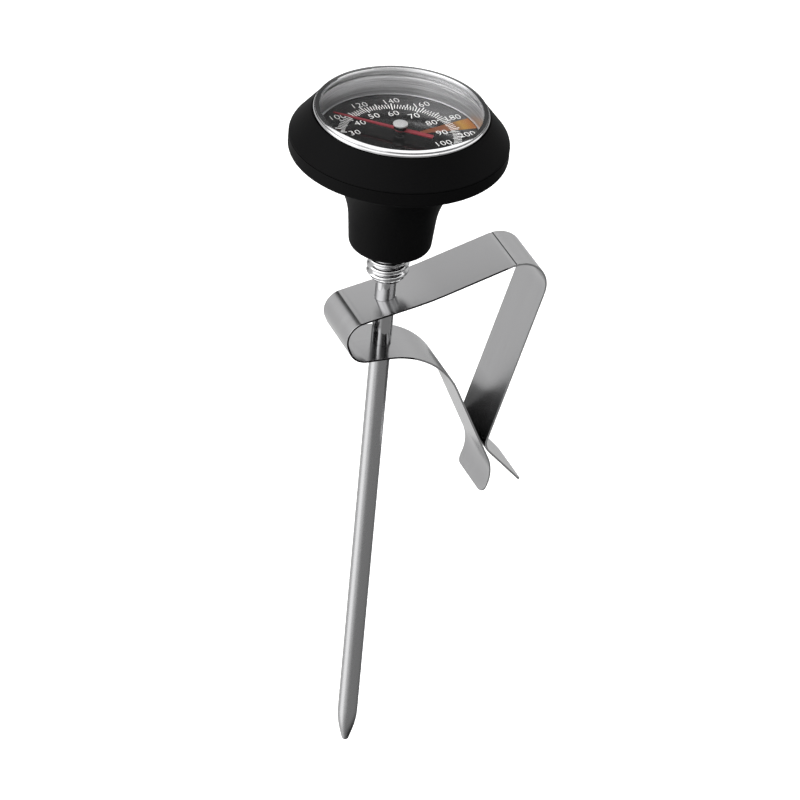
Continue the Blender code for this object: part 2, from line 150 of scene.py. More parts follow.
def make_surface(name, color, roughness, metallic=0.0, grain=1200.0, stretch=(1, 1, 1), tint=0.12,
                 spread=0.06, bump=0.0, extra=None):
    """A Principled surface whose colour, roughness and height vary with a fine noise.

    stretch scales the noise along X, Y and Z: a small number draws it out into lines.
    """
    material = bpy.data.materials.new(name)
    material.use_nodes = True
    nodes, links = node_tools(material)
    shader = nodes["Principled BSDF"]
    shader.inputs["Metallic"].default_value = metallic
    for socket, value in (extra or {}).items():
        shader.inputs[socket].default_value = value

    coordinates = nodes.new("ShaderNodeTexCoord")
    mapping = nodes.new("ShaderNodeMapping")
    mapping.inputs["Scale"].default_value = stretch
    links.new(coordinates.outputs["Object"], mapping.inputs["Vector"])
    noise = nodes.new("ShaderNodeTexNoise")
    noise.inputs["Scale"].default_value = grain
    noise.inputs["Detail"].default_value = 4.0
    links.new(mapping.outputs["Vector"], noise.inputs["Vector"])

    weakest, strongest = 0.3, 0.7       # the noise stays between these almost everywhere
    darker = [channel * (1 - tint) for channel in color]
    lighter = [min(1, channel * (1 + tint)) for channel in color]
    tinted = color_ramp(nodes, links, noise.outputs["Fac"],
                        [(weakest, darker), (strongest, lighter)])
    links.new(tinted, shader.inputs["Base Color"])
    rough = remap(nodes, links, noise.outputs["Fac"], weakest, strongest,
                  max(0.0, roughness - spread), roughness + spread)
    links.new(rough, shader.inputs["Roughness"])
    if bump:
        relief = nodes.new("ShaderNodeBump")
        relief.inputs["Strength"].default_value = 0.6
        relief.inputs["Distance"].default_value = bump
        links.new(noise.outputs["Fac"], relief.inputs["Height"])
        links.new(relief.outputs["Normal"], shader.inputs["Normal"])
    return material


SILICONE = make_surface("silicone", (0.0019, 0.0019, 0.002), 0.55, grain=5200, tint=0.25,
                        spread=0.05, bump=0.00002, extra={"Specular IOR Level": 0.035})
STRIP_STEEL = make_surface("strip_steel", (0.43, 0.43, 0.435), 0.19, 1.0, grain=900,
                           stretch=(0.05, 1, 0.05), tint=0.02, spread=0.015,
                           extra={"Anisotropic": 0.8, "Anisotropic Rotation": 0.25})
# The strip's edges: a near-black steel that paints a dark reflection on them.
EDGE_PAINTED_DARK = make_surface("painted_dark_edge", (0.01, 0.01, 0.0105), 0.3, 1.0, grain=1500, tint=0.2)
STEM_STEEL = make_surface("stem_steel", (0.42, 0.42, 0.425), 0.27, 1.0, grain=2600,
                          stretch=(1, 1, 0.35), tint=0.02, spread=0.02, bump=0.0000002)
CHROME = make_surface("chrome", (0.5, 0.5, 0.505), 0.06, 1.0, grain=900, tint=0.03, spread=0.03)
COLLAR_STEEL = make_surface("collar_steel", (0.5, 0.5, 0.505), 0.13, 1.0, grain=2500,
                            stretch=(1, 1, 4), tint=0.04, spread=0.03, bump=0.000001)
WALL_METAL = make_surface("wall_metal", (0.72, 0.72, 0.73), 0.42, 1.0, grain=2600,
                          stretch=(0.04, 0.04, 3), tint=0.22, spread=0.1, bump=0.00002)
DIAL_PAINT = make_surface("dial_paint", (0.005, 0.005, 0.0052), 0.12, grain=4000, tint=0.15,
                          spread=0.02, extra={"Specular IOR Level": 0.9})
FIGURE_INK = make_surface("figure_ink", (0.82, 0.82, 0.81), 0.5, grain=3000, tint=0.05,
                          extra={"IOR": 1.3})
NEEDLE_RED = make_surface("needle_red", (0.21, 0.02, 0.03), 0.45, grain=2500, tint=0.12)
HUB_DARK = make_surface("hub_dark", (0.1, 0.1, 0.102), 0.22, 1.0, grain=2500, tint=0.1)
CAP_STEEL = make_surface("cap_steel", (0.5, 0.5, 0.505), 0.4, 0.35, grain=6000, tint=0.2,
                         spread=0.08, bump=0.000004)
SEAL_BLACK = make_surface("seal_black", (0.012, 0.012, 0.012), 0.6, grain=2000, tint=0.2)
INNER_STEEL = make_surface("inner_steel", (0.55, 0.55, 0.56), 0.3, 1.0, grain=1500, tint=0.08,
                           stretch=(1, 1, 3))
BRASS = make_surface("brass", (0.72, 0.52, 0.22), 0.3, 1.0, grain=1500, tint=0.1,
                     stretch=(1, 1, 3))
BIMETAL = make_surface("bimetal", (0.6, 0.5, 0.34), 0.3, 1.0, grain=1800, tint=0.1)


def brush_strip():
    """The strip is brushed along its length, which spreads its reflections across its width."""
    nodes, links = node_tools(STRIP_STEEL)
    tangent = nodes.new("ShaderNodeTangent")
    tangent.direction_type = "RADIAL"
    tangent.axis = "Y"
    links.new(tangent.outputs["Tangent"], nodes["Principled BSDF"].inputs["Tangent"])


def shade_pinch():
    """Painted shade: the base colour of the faces that look into the jaws is darkened just above
    the place where the legs meet.
    """
    nodes, links = node_tools(STRIP_STEEL)
    shader = nodes["Principled BSDF"]
    steel = shader.inputs["Base Color"].links[0].from_socket
    below, above = 0.6, 11.4
    height = component(nodes, links, nodes["Texture Coordinate"].outputs["Object"], "Z")
    rise = remap(nodes, links, height, TIP_Z + (PINCH_HEIGHT - below) * MM,
                 TIP_Z + (PINCH_HEIGHT + above) * MM)
    # Painted shade: the base colour is multiplied by these greys along the height, down to half
    # near the pinch.
    greys = [(0.0, 1.0), (0.05, 0.5), (0.35, 0.5), (1.0, 1.0)]
    shade = color_ramp(nodes, links, rise, [(share, (grey, grey, grey)) for share, grey in greys])
    surface = nodes.new("ShaderNodeNewGeometry")
    upward = component(nodes, links, surface.outputs["Normal"], "Z")
    inward = remap(nodes, links, upward, 0.1, 0.2)
    mix = nodes.new("ShaderNodeMix")
    mix.data_type = "FLOAT"
    mix.inputs[2].default_value = 1.0
    links.new(inward, mix.inputs[0])
    links.new(shade, mix.inputs[3])
    scaled = nodes.new("ShaderNodeVectorMath")
    scaled.operation = "SCALE"
    links.new(steel, scaled.inputs[0])
    links.new(mix.outputs[0], scaled.inputs["Scale"])
    links.new(scaled.outputs["Vector"], shader.inputs["Base Color"])


def polish_upper_stem():
    """The stem is satin below the clip's lower plate and polished above it."""
    nodes, links = node_tools(STEM_STEEL)
    shader = nodes["Principled BSDF"]
    satin = shader.inputs["Roughness"].links[0].from_socket
    satin_top, polish_low = LOWER_PLATE - 1.6, LOWER_PLATE + 0.4
    polished_share = 0.3
    height = component(nodes, links, nodes["Texture Coordinate"].outputs["Object"], "Z")
    share = remap(nodes, links, height, TIP_Z + satin_top * MM, TIP_Z + polish_low * MM,
                  1.0, polished_share)
    scaled = nodes.new("ShaderNodeMath")
    scaled.operation = "MULTIPLY"
    links.new(satin, scaled.inputs[0])
    links.new(share, scaled.inputs[1])
    links.new(scaled.outputs[0], shader.inputs["Roughness"])


brush_strip()
shade_pinch()
polish_upper_stem()


def make_glass():
    """Clear glass that doesn't bend what is behind it and mirrors more at a slant."""
    glass = bpy.data.materials.new("window_glass")
    glass.use_nodes = True
    nodes, links = node_tools(glass)
    nodes.remove(nodes["Principled BSDF"])
    clear = nodes.new("ShaderNodeBsdfTransparent")
    mirror = nodes.new("ShaderNodeBsdfGlossy")
    mirror.inputs["Roughness"].default_value = 0.02
    facing = nodes.new("ShaderNodeLayerWeight")
    facing.inputs["Blend"].default_value = 0.5
    slant = nodes.new("ShaderNodeMath")
    slant.operation = "POWER"
    slant.inputs[1].default_value = 5.0
    links.new(facing.outputs["Facing"], slant.inputs[0])
    mirrored_straight_on = 0.04
    share = remap(nodes, links, slant.outputs[0], 0.0, 1.0, low=mirrored_straight_on)
    mix = nodes.new("ShaderNodeMixShader")
    links.new(share, mix.inputs["Fac"])
    links.new(clear.outputs[0], mix.inputs[1])
    links.new(mirror.outputs[0], mix.inputs[2])
    links.new(mix.outputs[0], nodes["Material Output"].inputs["Surface"])
    return glass


def make_warm_zone_paint():
    """The orange sector's print with painted light on it: painted shade makes it brown orange
    towards the middle, and a painted highlight makes it yellow orange near the dial's edge.
    """
    material = make_surface("warm_zone_print_and_painted_light", (0.5, 0.2, 0.05), 0.4, grain=3000, tint=0.1)
    nodes, links = node_tools(material)
    distance = nodes.new("ShaderNodeVectorMath")
    distance.operation = "LENGTH"
    links.new(nodes["Texture Coordinate"].outputs["Object"], distance.inputs[0])
    inner, outer = 4, 16
    share = remap(nodes, links, distance.outputs["Value"], inner * MM, outer * MM)
    # Painted shade on the inner stops, and a painted highlight as the bright stop near the edge.
    stops = [
        (0.0, (0.13, 0.028, 0.006)), (0.45, (0.15, 0.038, 0.006)), (0.66, (0.15, 0.055, 0.007)),
        (0.76, (0.3, 0.15, 0.012)), (0.9, (0.27, 0.095, 0.011)), (1.0, (0.22, 0.07, 0.01)),
    ]
    painted = color_ramp(nodes, links, share, stops)
    links.new(painted, nodes["Principled BSDF"].inputs["Base Color"])
    return material


# ---- Shapes -------------------------------------------------------------------------------------

def corner_arc(before, corner, after, radius, step):
    """Points of the arc that rounds a corner, at most step degrees apart."""
    to_before = (before - corner).normalized()
    to_after = (after - corner).normalized()
    half_angle = to_before.angle(to_after) / 2
    tangent = radius / math.tan(half_angle)
    centre = corner + (to_before + to_after).normalized() * radius / math.sin(half_angle)
    start = corner + to_before * tangent - centre
    turn = -start.angle_signed(corner + to_after * tangent - centre)
    count = max(2, math.ceil(abs(turn) / math.radians(step)))
    across = Vector((-start.y, start.x))
    angles = [turn * index / count for index in range(count + 1)]
    return [centre + start * math.cos(angle) + across * math.sin(angle) for angle in angles]


def rounded(corners, closed=False, step=6.0):
    """Points of an outline from corners (x, z) or (x, z, radius), in millimetres."""
    places = [Vector(corner[:2]) for corner in corners]
    points = []
    for index, corner in enumerate(corners):
        radius = corner[2] if len(corner) > 2 else 0
        if radius and (closed or 0 < index < len(corners) - 1):
            after = places[(index + 1) % len(corners)]
            points += corner_arc(places[index - 1], places[index], after, radius, step)
        else:
            points.append(places[index])
    return points


def mesh_from(name, bm):
    """A new mesh from a bmesh, which is freed."""
    mesh = bpy.data.meshes.new(name)
    bm.to_mesh(mesh)
    bm.free()
    return mesh


def add_object(name, data):
    """A new object in the scene."""
    thing = bpy.data.objects.new(name, data)
    bpy.context.scene.collection.objects.link(thing)
    return thing


def evaluated_mesh(thing):
    """A new mesh with what an object's modifiers or its curve make."""
    evaluated = thing.evaluated_get(bpy.context.evaluated_depsgraph_get())
    return bpy.data.meshes.new_from_object(evaluated)


def curve_mesh(curve):
    """The mesh of a curve or a text, whose object is taken away again."""
    guide = add_object(curve.name, curve)
    mesh = evaluated_mesh(guide)
    bpy.data.objects.remove(guide)
    return mesh


def finish_piece(name, bm, material, body, replaced=(), sharp=35.0, place=None):
    """Turn a bmesh in millimetres above the stem's tip into a piece that rides on a body.

    A piece with no body is not attached here; its builder may attach it.
    """
    bmesh.ops.remove_doubles(bm, verts=bm.verts, dist=0.00005)
    bmesh.ops.recalc_face_normals(bm, faces=bm.faces)
    mesh = mesh_from(name, bm)
    mesh.transform(Matrix.Scale(MM, 4))
    mesh.materials.append(material)
    mesh.shade_smooth()
    mesh.set_sharp_from_angle(angle=math.radians(sharp))
    piece = add_object(name, mesh)
    if place is None:
        mesh.transform(Matrix.Translation((AXIS_X, 0, TIP_Z)))
    else:
        piece.location = place
    even_out(piece)
    if replaced:
        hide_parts(*replaced)
    if body:
        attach(piece, body)
    return piece


def even_out(piece):
    """Let each large face keep its own direction, so that small roundings don't shade it."""
    weighted = piece.modifiers.new("even_shading", "WEIGHTED_NORMAL")
    weighted.keep_sharp = True
    weighted.weight = 100


def ring_of(bm, radius, height, segments):
    """A ring of vertices about the axis, or a single one on it."""
    if radius < 1e-6:
        return [bm.verts.new((0, 0, height))]
    verts = []
    for index in range(segments):
        angle = math.tau * index / segments
        verts.append(bm.verts.new((radius * math.cos(angle), radius * math.sin(angle), height)))
    return verts


def bridge(bm, first, second):
    """Faces between two rings, either of which may be a single point on the axis."""
    count = max(len(first), len(second))
    if count == 1:
        return
    for index in range(count):
        after = (index + 1) % count
        corners = []
        for ring, order in ((first, (index, after)), (second, (after, index))):
            if len(ring) == 1:
                corners.append(ring[0])
            else:
                corners += [ring[place] for place in order]
        bm.faces.new(corners)


def lathe(name, outline, material, body, replaced=(), ring=True, segments=128, step=6.0,
          sharp=35.0):
    """A piece turned about the stem's axis from an outline of corners."""
    bm = bmesh.new()
    rings = [ring_of(bm, point.x, point.y, segments) for point in rounded(outline, ring, step)]
    pairs = list(zip(rings, rings[1:]))
    if ring:
        pairs.append((rings[-1], rings[0]))
    for first, second in pairs:
        bridge(bm, first, second)
    return finish_piece(name, bm, material, body, replaced, sharp)


# ---- Head ---------------------------------------------------------------------------------------

def build_cover():
    """The silicone cover, with the fine parting line where its cone meets its band."""
    band_top, band_low = 141.2, 138.0
    line_depth, line_half = 0.28, 0.07
    rim, neck, mouth, hollow = 16.72, 7.9, 4.4, 6.3
    lip_top, seat = COVER_LOW + 2.0, 137.8
    outline = [
        (rim, COVER_TOP, 0.12),
        (17.0, COVER_TOP - 0.2, 0.2),
        (COVER_RADIUS - 0.06, band_top + 0.25, 0.5),
        (COVER_RADIUS - 0.05, band_top + line_half),
        (COVER_RADIUS - line_depth, band_top),
        (COVER_RADIUS, band_top - line_half),
        (COVER_RADIUS, band_low, 1.0),
        (19.5, band_low, 0.3),
        (9.3, 134.0, 16.5),
        (neck, COVER_LOW + 0.6, 1.3),
        (5.0, COVER_LOW, 0.3),
        (mouth, COVER_LOW, 0.15),
        (mouth, lip_top),
        (hollow, lip_top, 0.5),
        (hollow, 132.2, 18.5),
        (14.8, seat),
        (rim, seat),
    ]
    lathe("cover_shell", outline, SILICONE, "head", ["silicone_cover"],
          segments=192, step=5, sharp=30)


def build_bezel():
    """The polished bezel: a nearly flat rim with a fine step around it, and a skirt.

    The skirt's inner side is brushed.
    """
    lip = 15.4
    shoulder = BEZEL_RADIUS - 0.3
    skirt = 16.46
    under = GLASS_TOP + 0.05
    crown = BEZEL_TOP - 0.08
    groove = BEZEL_TOP - 0.38
    edge = groove + 0.1
    outline = [
        (lip, BEZEL_TOP - 0.18), (lip + 0.11, BEZEL_TOP, 0.03),
        (shoulder, crown, 0.06), (shoulder + 0.02, groove), (shoulder + 0.1, groove, 0.03),
        (shoulder + 0.13, edge, 0.03), (BEZEL_RADIUS, edge - 0.3, 0.05),
        (BEZEL_RADIUS, BEZEL_LOW), (skirt, BEZEL_LOW), (skirt, under), (lip, under, 0.12),
    ]
    bezel = lathe("bezel_bead", outline, CHROME, "head", ["bezel_ring"],
                  segments=192, step=10)
    bezel.data.materials.append(WALL_METAL)
    for face in bezel.data.polygons:
        outward = Vector((face.center.x - AXIS_X, face.center.y, 0))
        if outward.length < (skirt + 0.02) * MM and face.normal.dot(outward.normalized()) < -0.9:
            face.material_index = 1


def build_window():
    """The flat glass and the seal around its edge."""
    glass_radius = 16.4
    edge = 0.25
    outline = [
        (0, GLASS_TOP), (glass_radius, GLASS_TOP, edge), (glass_radius, GLASS_LOW, edge),
        (0, GLASS_LOW),
    ]
    lathe("window_glass", outline, make_glass(), "head", ["lens_glass"], ring=False,
          segments=128, step=30)
    seal_low = height_of("lens_gasket", 0)
    seal_top = height_of("lens_gasket", 1)
    inner, outer = 16.38, 16.42
    seal = [(inner, seal_top), (outer, seal_top), (outer, seal_low), (inner, seal_low)]
    lathe("glass_seal", seal, SEAL_BLACK, "head", ["lens_gasket"], step=20)


def build_dial_wall():
    """The turned ring around the dial: it flares towards the glass and is finely grooved."""
    low = DIAL + 0.05
    top = GLASS_LOW - 0.03
    rim, outside = 16.35, 16.1
    foot, ledge, flare = 15.7, 0.16, 0.5
    groove = 0.03
    grooves = 9
    outline = [
        (rim, top), (rim, top - 0.3), (outside, top - 0.5), (outside, low), (foot - ledge, low),
        (foot - ledge, low + 0.12, 0.04), (foot, low + ledge),
    ]
    rise = top - low - 0.26
    for index in range(grooves):
        for part, depth in ((0.0, 0.0), (0.3, groove), (0.75, groove)):
            share = (index + part) / grooves
            outline.append((foot + flare * share ** 3 + depth, low + 0.2 + rise * share))
    outline.append((foot + flare, top))
    lathe("dial_wall", outline, WALL_METAL, "head", ["spacer_ring"],
          segments=160, sharp=60)


def dial_point(radius, degrees):
    """A point on the dial, in a direction from +X towards +Y."""
    angle = math.radians(degrees)
    return Vector((radius * math.cos(angle), radius * math.sin(angle), 0))


def celsius_direction(celsius):
    return DIRECTION_AT_65_C - DEGREES_PER_CELSIUS * (celsius - 65)


def figure_direction(fahrenheit):
    """The Fahrenheit figures stand closer together than their ticks, and 160 a little off."""
    celsius = (fahrenheit - 32) / 1.8
    spacing = 2.6
    nudge = 3.2 if fahrenheit == 160 else 0.0
    return DIRECTION_AT_65_C - spacing * (celsius - 65) + nudge


def fahrenheit_direction(fahrenheit):
    return celsius_direction((fahrenheit - 32) / 1.8)


def slab(bm, corners, low, high):
    """A flat upright-sided prism from a loop of points."""
    bottom = [bm.verts.new((point.x, point.y, low)) for point in corners]
    top = [bm.verts.new((point.x, point.y, high)) for point in corners]
    bm.faces.new(list(reversed(bottom)))
    bm.faces.new(top)
    for index in range(len(corners)):
        after = (index + 1) % len(corners)
        bm.faces.new((bottom[index], bottom[after], top[after], top[index]))


def add_tick(bm, degrees, inner, outer, width):
    """A tick that points at the dial's middle, between two distances from it."""
    outward = dial_point(1, degrees)
    across = Vector((-outward.y, outward.x, 0)) * width / 2
    corners = [outward * inner - across, outward * outer - across, outward * outer + across,
               outward * inner + across]
    slab(bm, corners, DIAL + INK_LOW, DIAL + INK_HIGH)


def build_ticks():
    """One ring of ticks: every degree Celsius inwards, every two degrees Fahrenheit outwards."""
    bm = bmesh.new()
    ring = 11.04
    bold, fine = 0.2, 0.15
    long_inwards, long_outwards, middling, short = 1.15, 1.2, 0.95, 0.75
    for celsius in range(30, 101):
        length, width = (long_inwards, bold) if celsius % 10 == 0 else (short, fine)
        if celsius % 10 == 5:
            length = middling
        add_tick(bm, celsius_direction(celsius), ring - length, ring, width)
    for fahrenheit in range(90, 211, 2):
        length, width = (long_outwards, bold) if fahrenheit % 10 == 0 else (short, fine)
        add_tick(bm, fahrenheit_direction(fahrenheit), ring, ring + length, width)
    finish_piece("dial_ticks", bm, FIGURE_INK, "head", sharp=20)


def add_figures(name, values, radius, direction, size):
    """Numerals around the dial, all turned the same way."""
    bm = bmesh.new()
    middle = Vector((0, 0, DIAL + (INK_LOW + INK_HIGH) / 2))
    slimmer = 0.014 * size
    for value in values:
        curve = bpy.data.curves.new(f"{name}_{value}", "FONT")
        curve.body = str(value)
        curve.size = size
        curve.align_x = "CENTER"
        curve.align_y = "CENTER"
        curve.space_character = 1.02
        curve.extrude = (INK_HIGH - INK_LOW) / 2
        curve.offset = -slimmer
        curve.resolution_u = 3
        mesh = curve_mesh(curve)
        place = dial_point(radius, direction(value)) + middle
        mesh.transform(Matrix.Translation(place) @ Matrix.Rotation(FIGURES_TURN, 4, "Z"))
        bm.from_mesh(mesh)
        bpy.data.meshes.remove(mesh)
    finish_piece(name, bm, FIGURE_INK, "head", sharp=20)


def build_warm_zone():
    """The orange sector, a little narrower towards the middle, under the ticks and figures."""
    start, end = -3.0, 11.5
    inner, outer = 4.5, 15.5
    narrowing = 2
    steps = 8
    low, high = 0.003, 0.012
    angles = [start + (end - start) * index / steps for index in range(steps + 1)]
    corners = [dial_point(inner, start + narrowing)]
    corners += [dial_point(outer, angle) for angle in angles]
    corners.append(dial_point(inner, end - narrowing))
    bm = bmesh.new()
    slab(bm, corners, low, high)
    place = Vector((AXIS_X, 0, TIP_Z + DIAL * MM))
    finish_piece("dial_warm_zone", bm, make_warm_zone_paint(), "head", sharp=20,
                 place=place)


def build_dial():
    """The dial's plate with its eyelet, sector, ticks and figures."""
    low = height_of("dial_plate", 0)
    hole, rim = 0.8, 16.0
    outline = [(hole, DIAL, 0.05), (rim, DIAL, 0.06), (rim, low), (hole, low)]
    lathe("dial_disc", outline, DIAL_PAINT, "head", ["dial_plate"], step=30)
    inner, outer = 0.42, 0.85
    foot, crown = DIAL + 0.01, DIAL + 0.2
    eyelet = [(inner, crown, 0.05), (outer, crown, 0.12), (outer, foot), (inner, foot)]
    lathe("dial_eyelet", eyelet, HUB_DARK, "head", segments=48, step=20)
    build_warm_zone()
    build_ticks()
    size = 2.35
    add_figures("figures_celsius", range(30, 101, 10), 8.4, celsius_direction, size)
    add_figures("figures_fahrenheit", range(100, 201, 20), 13.0, figure_direction, size)


def thread_radius(height, angle):
    """The collar's radius in its thread: one rounded ridge winding round, ending in a chamfer."""
    pitch = 1.5
    root, crest = 3.43, 4.13
    first_crest = 0.5
    chamfer_radius, chamfer_slope = 3.1, 0.75
    turn = (height - COLLAR_LOW - first_crest) / pitch - angle / math.tau
    ridge = (0.5 + 0.5 * math.cos(math.tau * turn)) ** 0.8
    chamfer = chamfer_radius + chamfer_slope * (height - COLLAR_LOW)
    return min(root + (crest - root) * ridge, chamfer)


def build_collar():
    """The collar: a flange that holds the case inside the head, and the thread below it."""
    segments = 96
    rows = 110
    thread_top = 118.4
    flange_low, flange_top = 136.4, 137.4
    neck, flange, shank = 3.0, 6.0, 3.6
    bore = STEM_RADIUS + 0.1
    bm = bmesh.new()
    plain = [
        (neck, COLLAR_TOP), (neck, flange_top), (flange, flange_top), (flange, flange_low),
        (shank, flange_low), (shank, thread_top + 0.6),
    ]
    rings = [ring_of(bm, bore, COLLAR_TOP, segments)]
    rings += [ring_of(bm, radius, height, segments) for radius, height in plain]
    for row in range(rows + 1):
        height = thread_top + (COLLAR_LOW - thread_top) * row / rows
        ring = []
        for index in range(segments):
            angle = math.tau * index / segments
            radius = thread_radius(height, angle)
            ring.append(bm.verts.new((radius * math.cos(angle), radius * math.sin(angle), height)))
        rings.append(ring)
    rings.append(ring_of(bm, bore, COLLAR_LOW, segments))
    for first, second in zip(rings, rings[1:] + rings[:1]):
        bridge(bm, first, second)
    finish_piece("collar_thread", bm, COLLAR_STEEL, "head", ["threaded_collar"],
                 sharp=50)


# ---- Pointer ------------------------------------------------------------------------------------

def build_needle():
    """A flat needle: a long tapering blade, a small eye that the hub holds, and a broad tail."""
    reach, tail = 13.4, 6.6
    root_half, tip_half, tail_half = 0.42, 0.13, 0.55
    eye, shoulder = 0.8, 1.05
    half_thickness = 0.125
    edge, tail_chamfer = 0.03, 0.15
    arc_steps, hole_steps = 16, 48
    reach_angle = math.asin(root_half / shoulder)
    tail_angle = math.asin(tail_half / shoulder)
    side = []
    for index in range(arc_steps + 1):
        angle = reach_angle + (math.pi - tail_angle - reach_angle) * index / arc_steps
        side.append((shoulder * math.cos(angle), shoulder * math.sin(angle)))
    outline = [(reach, -tip_half), (reach, tip_half)] + side
    outline += [(-tail + tail_chamfer, tail_half), (-tail, tail_half - tail_chamfer)]
    outline += [(-tail, tail_chamfer - tail_half), (-tail + tail_chamfer, -tail_half)]
    outline += [(x, -y) for x, y in reversed(side)]
    turns = [math.tau * index / hole_steps for index in range(hole_steps)]
    hole = [(eye * math.cos(angle), eye * math.sin(angle)) for angle in turns]
    curve = bpy.data.curves.new("needle", "CURVE")
    curve.dimensions = "2D"
    curve.fill_mode = "BOTH"
    curve.extrude = half_thickness - edge
    curve.bevel_depth = edge
    curve.bevel_resolution = 1
    curve.offset = -edge
    for loop in (outline, hole):
        spline = curve.splines.new("POLY")
        spline.points.add(len(loop) - 1)
        spline.use_cyclic_u = True
        for point, (x, y) in zip(spline.points, loop):
            point.co = (x, y, 0, 1)
    mesh = curve_mesh(curve)
    turn = Matrix.Rotation(NEEDLE_DIRECTION, 4, "Z")
    mesh.transform(Matrix.Translation((0, 0, NEEDLE)) @ turn)
    bm = bmesh.new()
    bm.from_mesh(mesh)
    bpy.data.meshes.remove(mesh)
    finish_piece("needle_blade", bm, NEEDLE_RED, "pointer", ["pointer_needle"])


def build_pointer():
    """The needle, the hub with a groove that holds it, the cap and the spindle."""
    build_needle()
    bore, core, groove_half = 0.45, 0.7, 0.15
    low = height_of("pointer_hub", 0)
    top = CAP_TOP - 0.4
    radius = radius_of("pointer_hub")
    hub = [
        (bore, top), (radius, top, 0.05), (radius, NEEDLE + groove_half, 0.04),
        (core, NEEDLE + groove_half), (core, NEEDLE - groove_half),
        (radius, NEEDLE - groove_half, 0.04), (radius, low, 0.12), (bore, low),
    ]
    lathe("hub_drum", hub, HUB_DARK, "pointer", ["pointer_hub"], segments=64,
          step=20)
    brim = CAP_TOP - 0.35
    cap_radius = 1.42
    cap = [(0, CAP_TOP), (cap_radius, CAP_TOP, 0.14), (cap_radius, brim, 0.05), (0, brim)]
    lathe("hub_button", cap, CAP_STEEL, "pointer", ["hub_cap"], ring=False,
          segments=64, step=20)
    low = height_of("pointer_spindle", 0)
    top = height_of("pointer_spindle", 1)
    rod_radius = 0.35
    rod = [(0, top), (rod_radius, top, 0.08), (rod_radius, low, 0.08), (0, low)]
    lathe("spindle_rod", rod, HUB_DARK, "pointer", ["pointer_spindle"], ring=False,
          segments=32, step=20)


# ---- Stem ---------------------------------------------------------------------------------------

def build_stem():
    """The stem's tube, closed at its tapered tip."""
    bore, bore_floor = 1.6, 9.5
    point, taper_top = 0.62, 5.2
    outline = [
        (0, bore_floor), (bore, bore_floor, 0.3), (bore, STEM_TOP), (STEM_RADIUS, STEM_TOP, 0.1),
        (STEM_RADIUS, taper_top, 20), (point, 0, 0.45), (0, 0),
    ]
    lathe("stem_sleeve", outline, STEM_STEEL, "stem", ["stem_tube"], ring=False,
          segments=96, step=1.5)


# ---- Clip ---------------------------------------------------------------------------------------

# The strip's middle line from the inner jaw to the outer one: x, height and the bend's radius.
CLIP_CORNERS = [
    (21.8, 60.3), (24.25, 64.4, 8.7), (9.75, LOWER_PLATE, 16.7), (-7.8, LOWER_PLATE, 4.0),
    (-11.2, 103.5, 3.8), (7.0, 107.3, 60.0), (33.5, 115.8, 5.8), (21.35, PINCH_HEIGHT, 3.0),
    (30.2, 61.7),
]
LEFT_BEND, RIGHT_BEND = 4, 6            # the corners where the upper plate starts and ends
BEND_STEP = 4                           # the most degrees between two points of a bend
END_ROUNDING = 1.6                      # the radius of the corners at the strip's free ends


def path_lengths(path):
    """The distance along a path at each of its points."""
    lengths = [0.0]
    for first, second in zip(path, path[1:]):
        lengths.append(lengths[-1] + (second - first).length)
    return lengths


def point_on(path, lengths, distance):
    """The point and the direction of a path at a distance along it."""
    for index in range(1, len(path)):
        if distance <= lengths[index] or index == len(path) - 1:
            ahead = path[index] - path[index - 1]
            share = (distance - lengths[index - 1]) / ahead.length
            return path[index - 1] + ahead * share, ahead.normalized()


def strip_section(half_width):
    """The strip's cross-section as (across, outward) points, its long edges rounded."""
    half = STRIP_THICKNESS / 2
    crisp, soft = 0.07, 0.05
    corners = [(-half_width, -half, soft), (half_width, -half, soft), (half_width, half, crisp),
               (-half_width, half, crisp)]
    points = rounded(corners, closed=True, step=18)
    return [(point.x, point.y) for point in points]


def end_half_width(distance):
    """Half the strip's width at a distance from its free end, whose corners are rounded."""
    half = STRIP_WIDTH / 2
    inside = END_ROUNDING - distance
    if inside <= 0:
        return half
    return half - END_ROUNDING + math.sqrt(max(0.0, END_ROUNDING ** 2 - inside ** 2))


def crease_dip(distance, creases):
    """How far the strip is pressed in near the lines where the brake has bent it."""
    return sum(depth * math.exp(-((distance - crease) / reach) ** 2)
               for crease, depth, reach in creases)


def strip_stations(lengths, free, far, creases):
    """The distances where the strip has a section, closer together at its free end and creases."""
    step = math.copysign(1, far - free)
    corner_steps = 8
    turns = [math.pi / 2 * index / corner_steps for index in range(corner_steps + 1)]
    rounded_end = [free + step * END_ROUNDING * (1 - math.cos(turn)) for turn in turns]
    pressed = [crease + shift * reach / 4 for crease, _, reach in creases
               for shift in range(-10, 11)]
    between = [length for length in set(lengths + pressed)
               if END_ROUNDING * 1.05 < (length - free) * step < abs(far - free) - 0.02]
    return sorted(rounded_end + between + [far])


def strip_mesh(path, free, far, creases, dark_above):
    """The stretch of the strip from its free, rounded end to a distance.

    Its edges are painted near black above a height, a painted dark reflection.
    """
    lengths = path_lengths(path)
    bm = bmesh.new()
    loops = []
    for station in strip_stations(lengths, free, far, creases):
        place, ahead = point_on(path, lengths, station)
        outward = Vector((-ahead.y, ahead.x))
        place = place - outward * crease_dip(station, creases)
        loop = []
        for across, out in strip_section(end_half_width(abs(station - free))):
            spot = place + outward * out
            loop.append(bm.verts.new((spot.x, across, spot.y)))
        loops.append(loop)
    for first, second in zip(loops, loops[1:]):
        for index in range(len(first)):
            after = (index + 1) % len(first)
            face = bm.faces.new((first[index], first[after], second[after], second[index]))
            face.normal_update()
            # Edge faces above the height get the near-black material: a painted dark reflection.
            painted_dark = abs(face.normal.y) > 0.65 and face.calc_center_median().z > dark_above
            face.material_index = int(painted_dark)
    bm.faces.new(list(reversed(loops[0])))
    bm.faces.new(loops[-1])
    return bm


